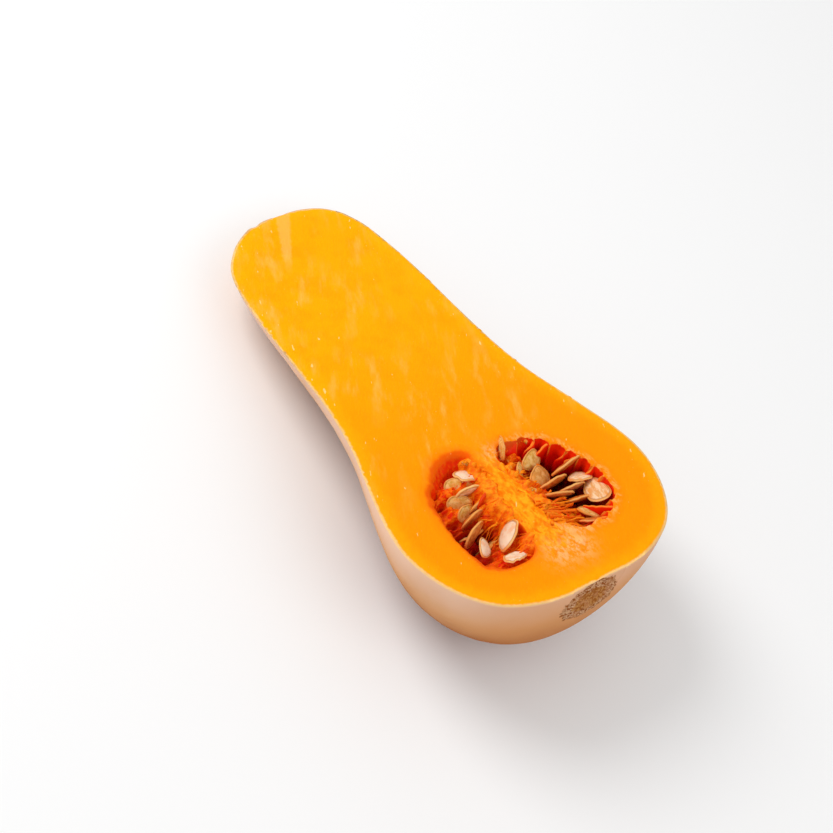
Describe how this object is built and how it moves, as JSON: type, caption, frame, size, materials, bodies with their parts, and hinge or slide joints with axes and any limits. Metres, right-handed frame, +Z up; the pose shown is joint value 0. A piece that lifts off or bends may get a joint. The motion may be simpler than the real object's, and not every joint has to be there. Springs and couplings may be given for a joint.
{
  "type": "butternut squash half",
  "caption": "Butternut squash cut lengthwise, lying cut face up, with an open seed cavity, seeds and stringy pulp.",
  "frame": {"origin": "middle of the bounding box's base, on the surface that the half rests on", "axes": "+X along the fruit from the neck's end to the blossom end, +Z up, cut face tilted 12.45 degrees down towards the neck"},
  "size_m": [0.2182, 0.1186, 0.0643],
  "materials": {
    "flesh_and_skin": "matte peach-tan skin, moist saturated orange flesh on the cut face",
    "seeds_and_pulp": "cream seeds in wet red-orange strings"
  },
  "bodies": {
    "root": {"squash_half": "flesh_and_skin", "seeds_and_pulp_far": "seeds_and_pulp", "seeds_and_pulp_near": "seeds_and_pulp"}
  },
  "joints": []
}
